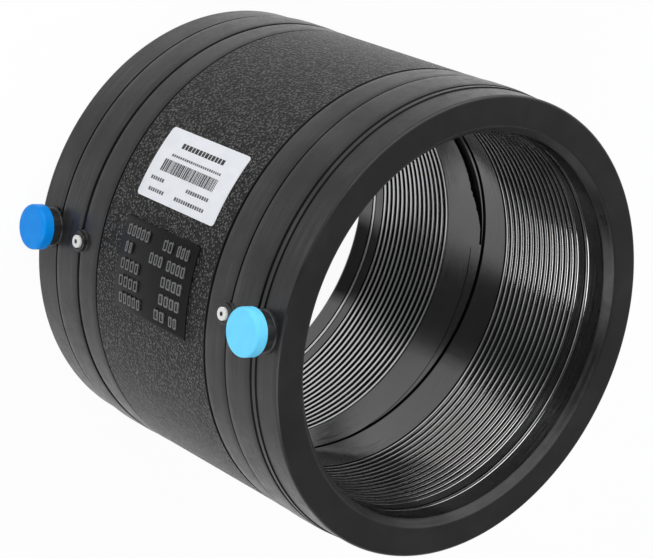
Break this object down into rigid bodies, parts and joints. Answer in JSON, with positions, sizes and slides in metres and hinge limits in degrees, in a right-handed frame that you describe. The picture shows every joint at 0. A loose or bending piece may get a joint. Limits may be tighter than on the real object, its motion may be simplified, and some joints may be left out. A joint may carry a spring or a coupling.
{
  "type": "electrofusion coupler",
  "caption": "Black plastic pipe coupler with wound heating coils in its bore, capped terminals and fusion indicators, for welding plastic pipes end to end.",
  "frame": {"origin": "middle of the bore, half way along the sleeve", "axes": "+Z along the bore towards the upper mouth; the two terminals point towards -Y"},
  "size_m": [0.1938, 0.2044, 0.165],
  "materials": {
    "black_polyethylene": "satin black moulded polyethylene, finely grained in the middle",
    "coil_coating": "glossy black polyethylene-coated wire",
    "terminal_brass": "turned",
    "cap_sky_blue": "soft gloss, light blue",
    "cap_azure": "soft gloss, deeper blue",
    "indicator_grey": "satin off-white",
    "label_white": "white film sticker with plain dashes and bars"
  },
  "bodies": {
    "coupler": {"sleeve_body": "black_polyethylene", "heating_coil_upper": "coil_coating", "heating_coil_lower": "coil_coating", "bridge_wire": "coil_coating", "terminal_pin_upper": "terminal_brass", "terminal_pin_lower": "terminal_brass", "label": "label_white"},
    "cap_upper": {"terminal_cap_upper": "cap_sky_blue"},
    "cap_lower": {"terminal_cap_lower": "cap_azure"},
    "indicator_upper": {"fusion_indicator_upper": "indicator_grey"},
    "indicator_lower": {"fusion_indicator_lower": "indicator_grey"}
  },
  "joints": [
    {"name": "cap_upper_pull", "type": "slide", "parent": "coupler", "child": "cap_upper", "axis": [0, -1, 0], "range_m": [0, 0.04]},
    {"name": "cap_lower_pull", "type": "slide", "parent": "coupler", "child": "cap_lower", "axis": [0, -1, 0], "range_m": [0, 0.04]},
    {"name": "indicator_upper_rise", "type": "slide", "parent": "coupler", "child": "indicator_upper", "axis": [0, -1, 0], "range_m": [0, 0.003]},
    {"name": "indicator_lower_rise", "type": "slide", "parent": "coupler", "child": "indicator_lower", "axis": [0, -1, 0], "range_m": [0, 0.003]}
  ]
}
